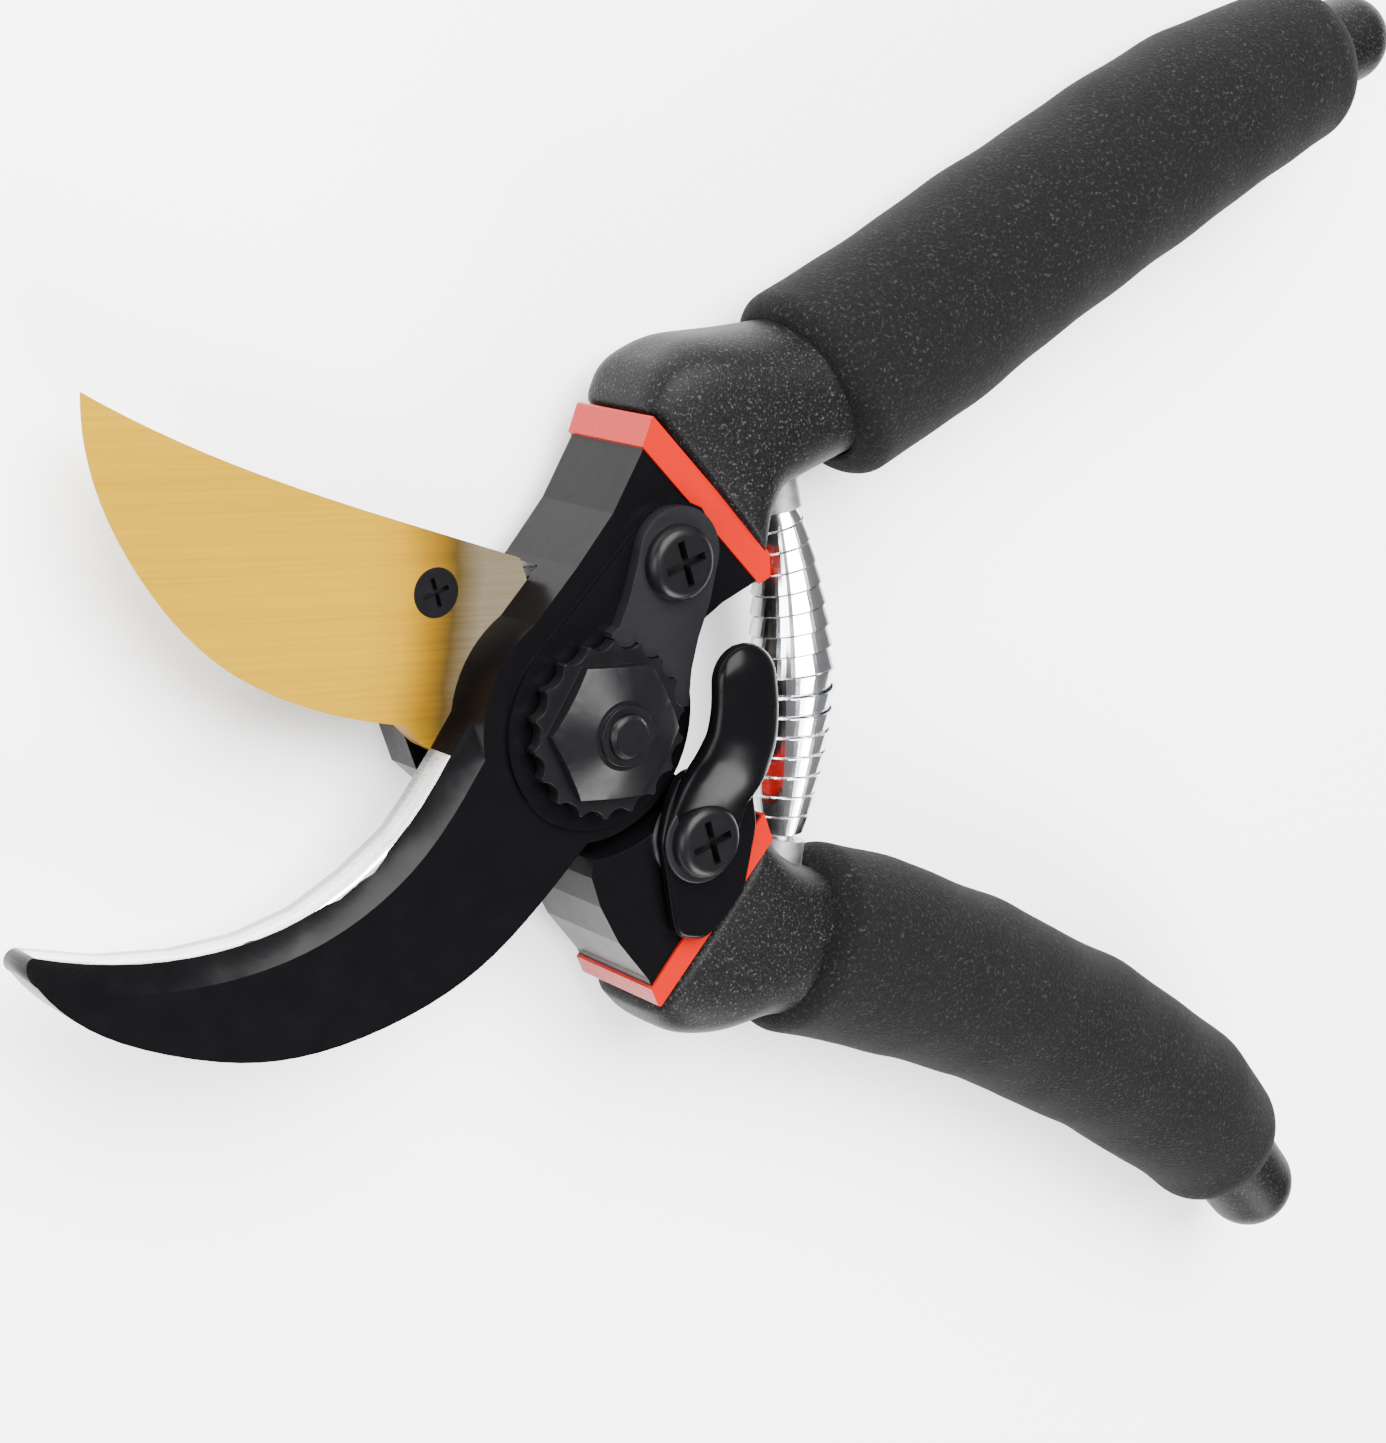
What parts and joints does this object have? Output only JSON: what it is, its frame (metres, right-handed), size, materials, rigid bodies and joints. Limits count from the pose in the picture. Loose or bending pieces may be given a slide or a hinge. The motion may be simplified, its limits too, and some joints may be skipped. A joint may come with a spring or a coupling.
{
  "type": "pruning shears",
  "caption": "Bypass pruning shears with a curved hook, a drop-point blade, foam-covered handles, a coiled-strip return spring and a thumb latch.",
  "frame": {"origin": "on the pivot axis, at the flat face of the pivot bolt head, which lies on the table", "axes": "+Z along the pivot axis from the bolt head to the adjusting nut, +X from the pivot along the bisector of the open handles, +Y towards the handle forged with the hook"},
  "size_m": [0.1914, 0.167, 0.0266],
  "materials": {
    "black_paint": "gloss black enamel on a steel forging, with a ground bright strip along the hook",
    "gold_steel": "gold titanium-nitride coat on brushed steel, darker towards the heel",
    "red_vinyl": "glossy red-orange dipped vinyl",
    "black_vinyl": "satin black dipped vinyl",
    "foam": "matte black closed-cell foam, finely speckled",
    "chrome": "polished strip",
    "black_oxide": "black oxide, satin",
    "dark_steel": "blackened sheet steel, satin",
    "bare_steel": "plain zinc-plated steel",
    "bronze": "plain bearing bronze"
  },
  "bodies": {
    "hook_half": {"hook_handle": "black_paint", "hook_band": "red_vinyl", "hook_sleeve": "black_vinyl", "hook_grip": "foam", "hook_spring_seat": "bare_steel", "pivot_bolt": "black_oxide", "bolt_washer": "bare_steel", "adjusting_nut": "black_oxide", "nut_washer": "black_oxide", "lock_plate": "dark_steel", "lock_plate_screw": "black_oxide", "return_spring": "chrome"},
    "blade_half": {"blade_handle": "black_paint", "blade_band": "red_vinyl", "blade_sleeve": "black_vinyl", "blade_grip": "foam", "blade_spring_seat": "bare_steel", "blade": "gold_steel", "blade_screw": "black_oxide", "pivot_bushing": "bronze", "latch_spacer": "bare_steel", "latch_screw": "black_oxide", "latch_washer": "dark_steel"},
    "latch": {"latch_lever": "black_paint"}
  },
  "joints": [
    {"name": "handle_pivot", "type": "hinge", "parent": "hook_half", "child": "blade_half", "pos_m": [0, 0, 0.012], "axis": [0, 0, 1], "range_deg": [0, 47], "stiffness_Nm_per_rad": 2.5, "springref_deg": -20.05, "deforming": ["return_spring"]},
    {"name": "latch_swing", "type": "hinge", "parent": "blade_half", "child": "latch", "pos_m": [0.0132, -0.0135, 0.021], "axis": [0, 0, 1], "range_deg": [-12, 0]}
  ]
}
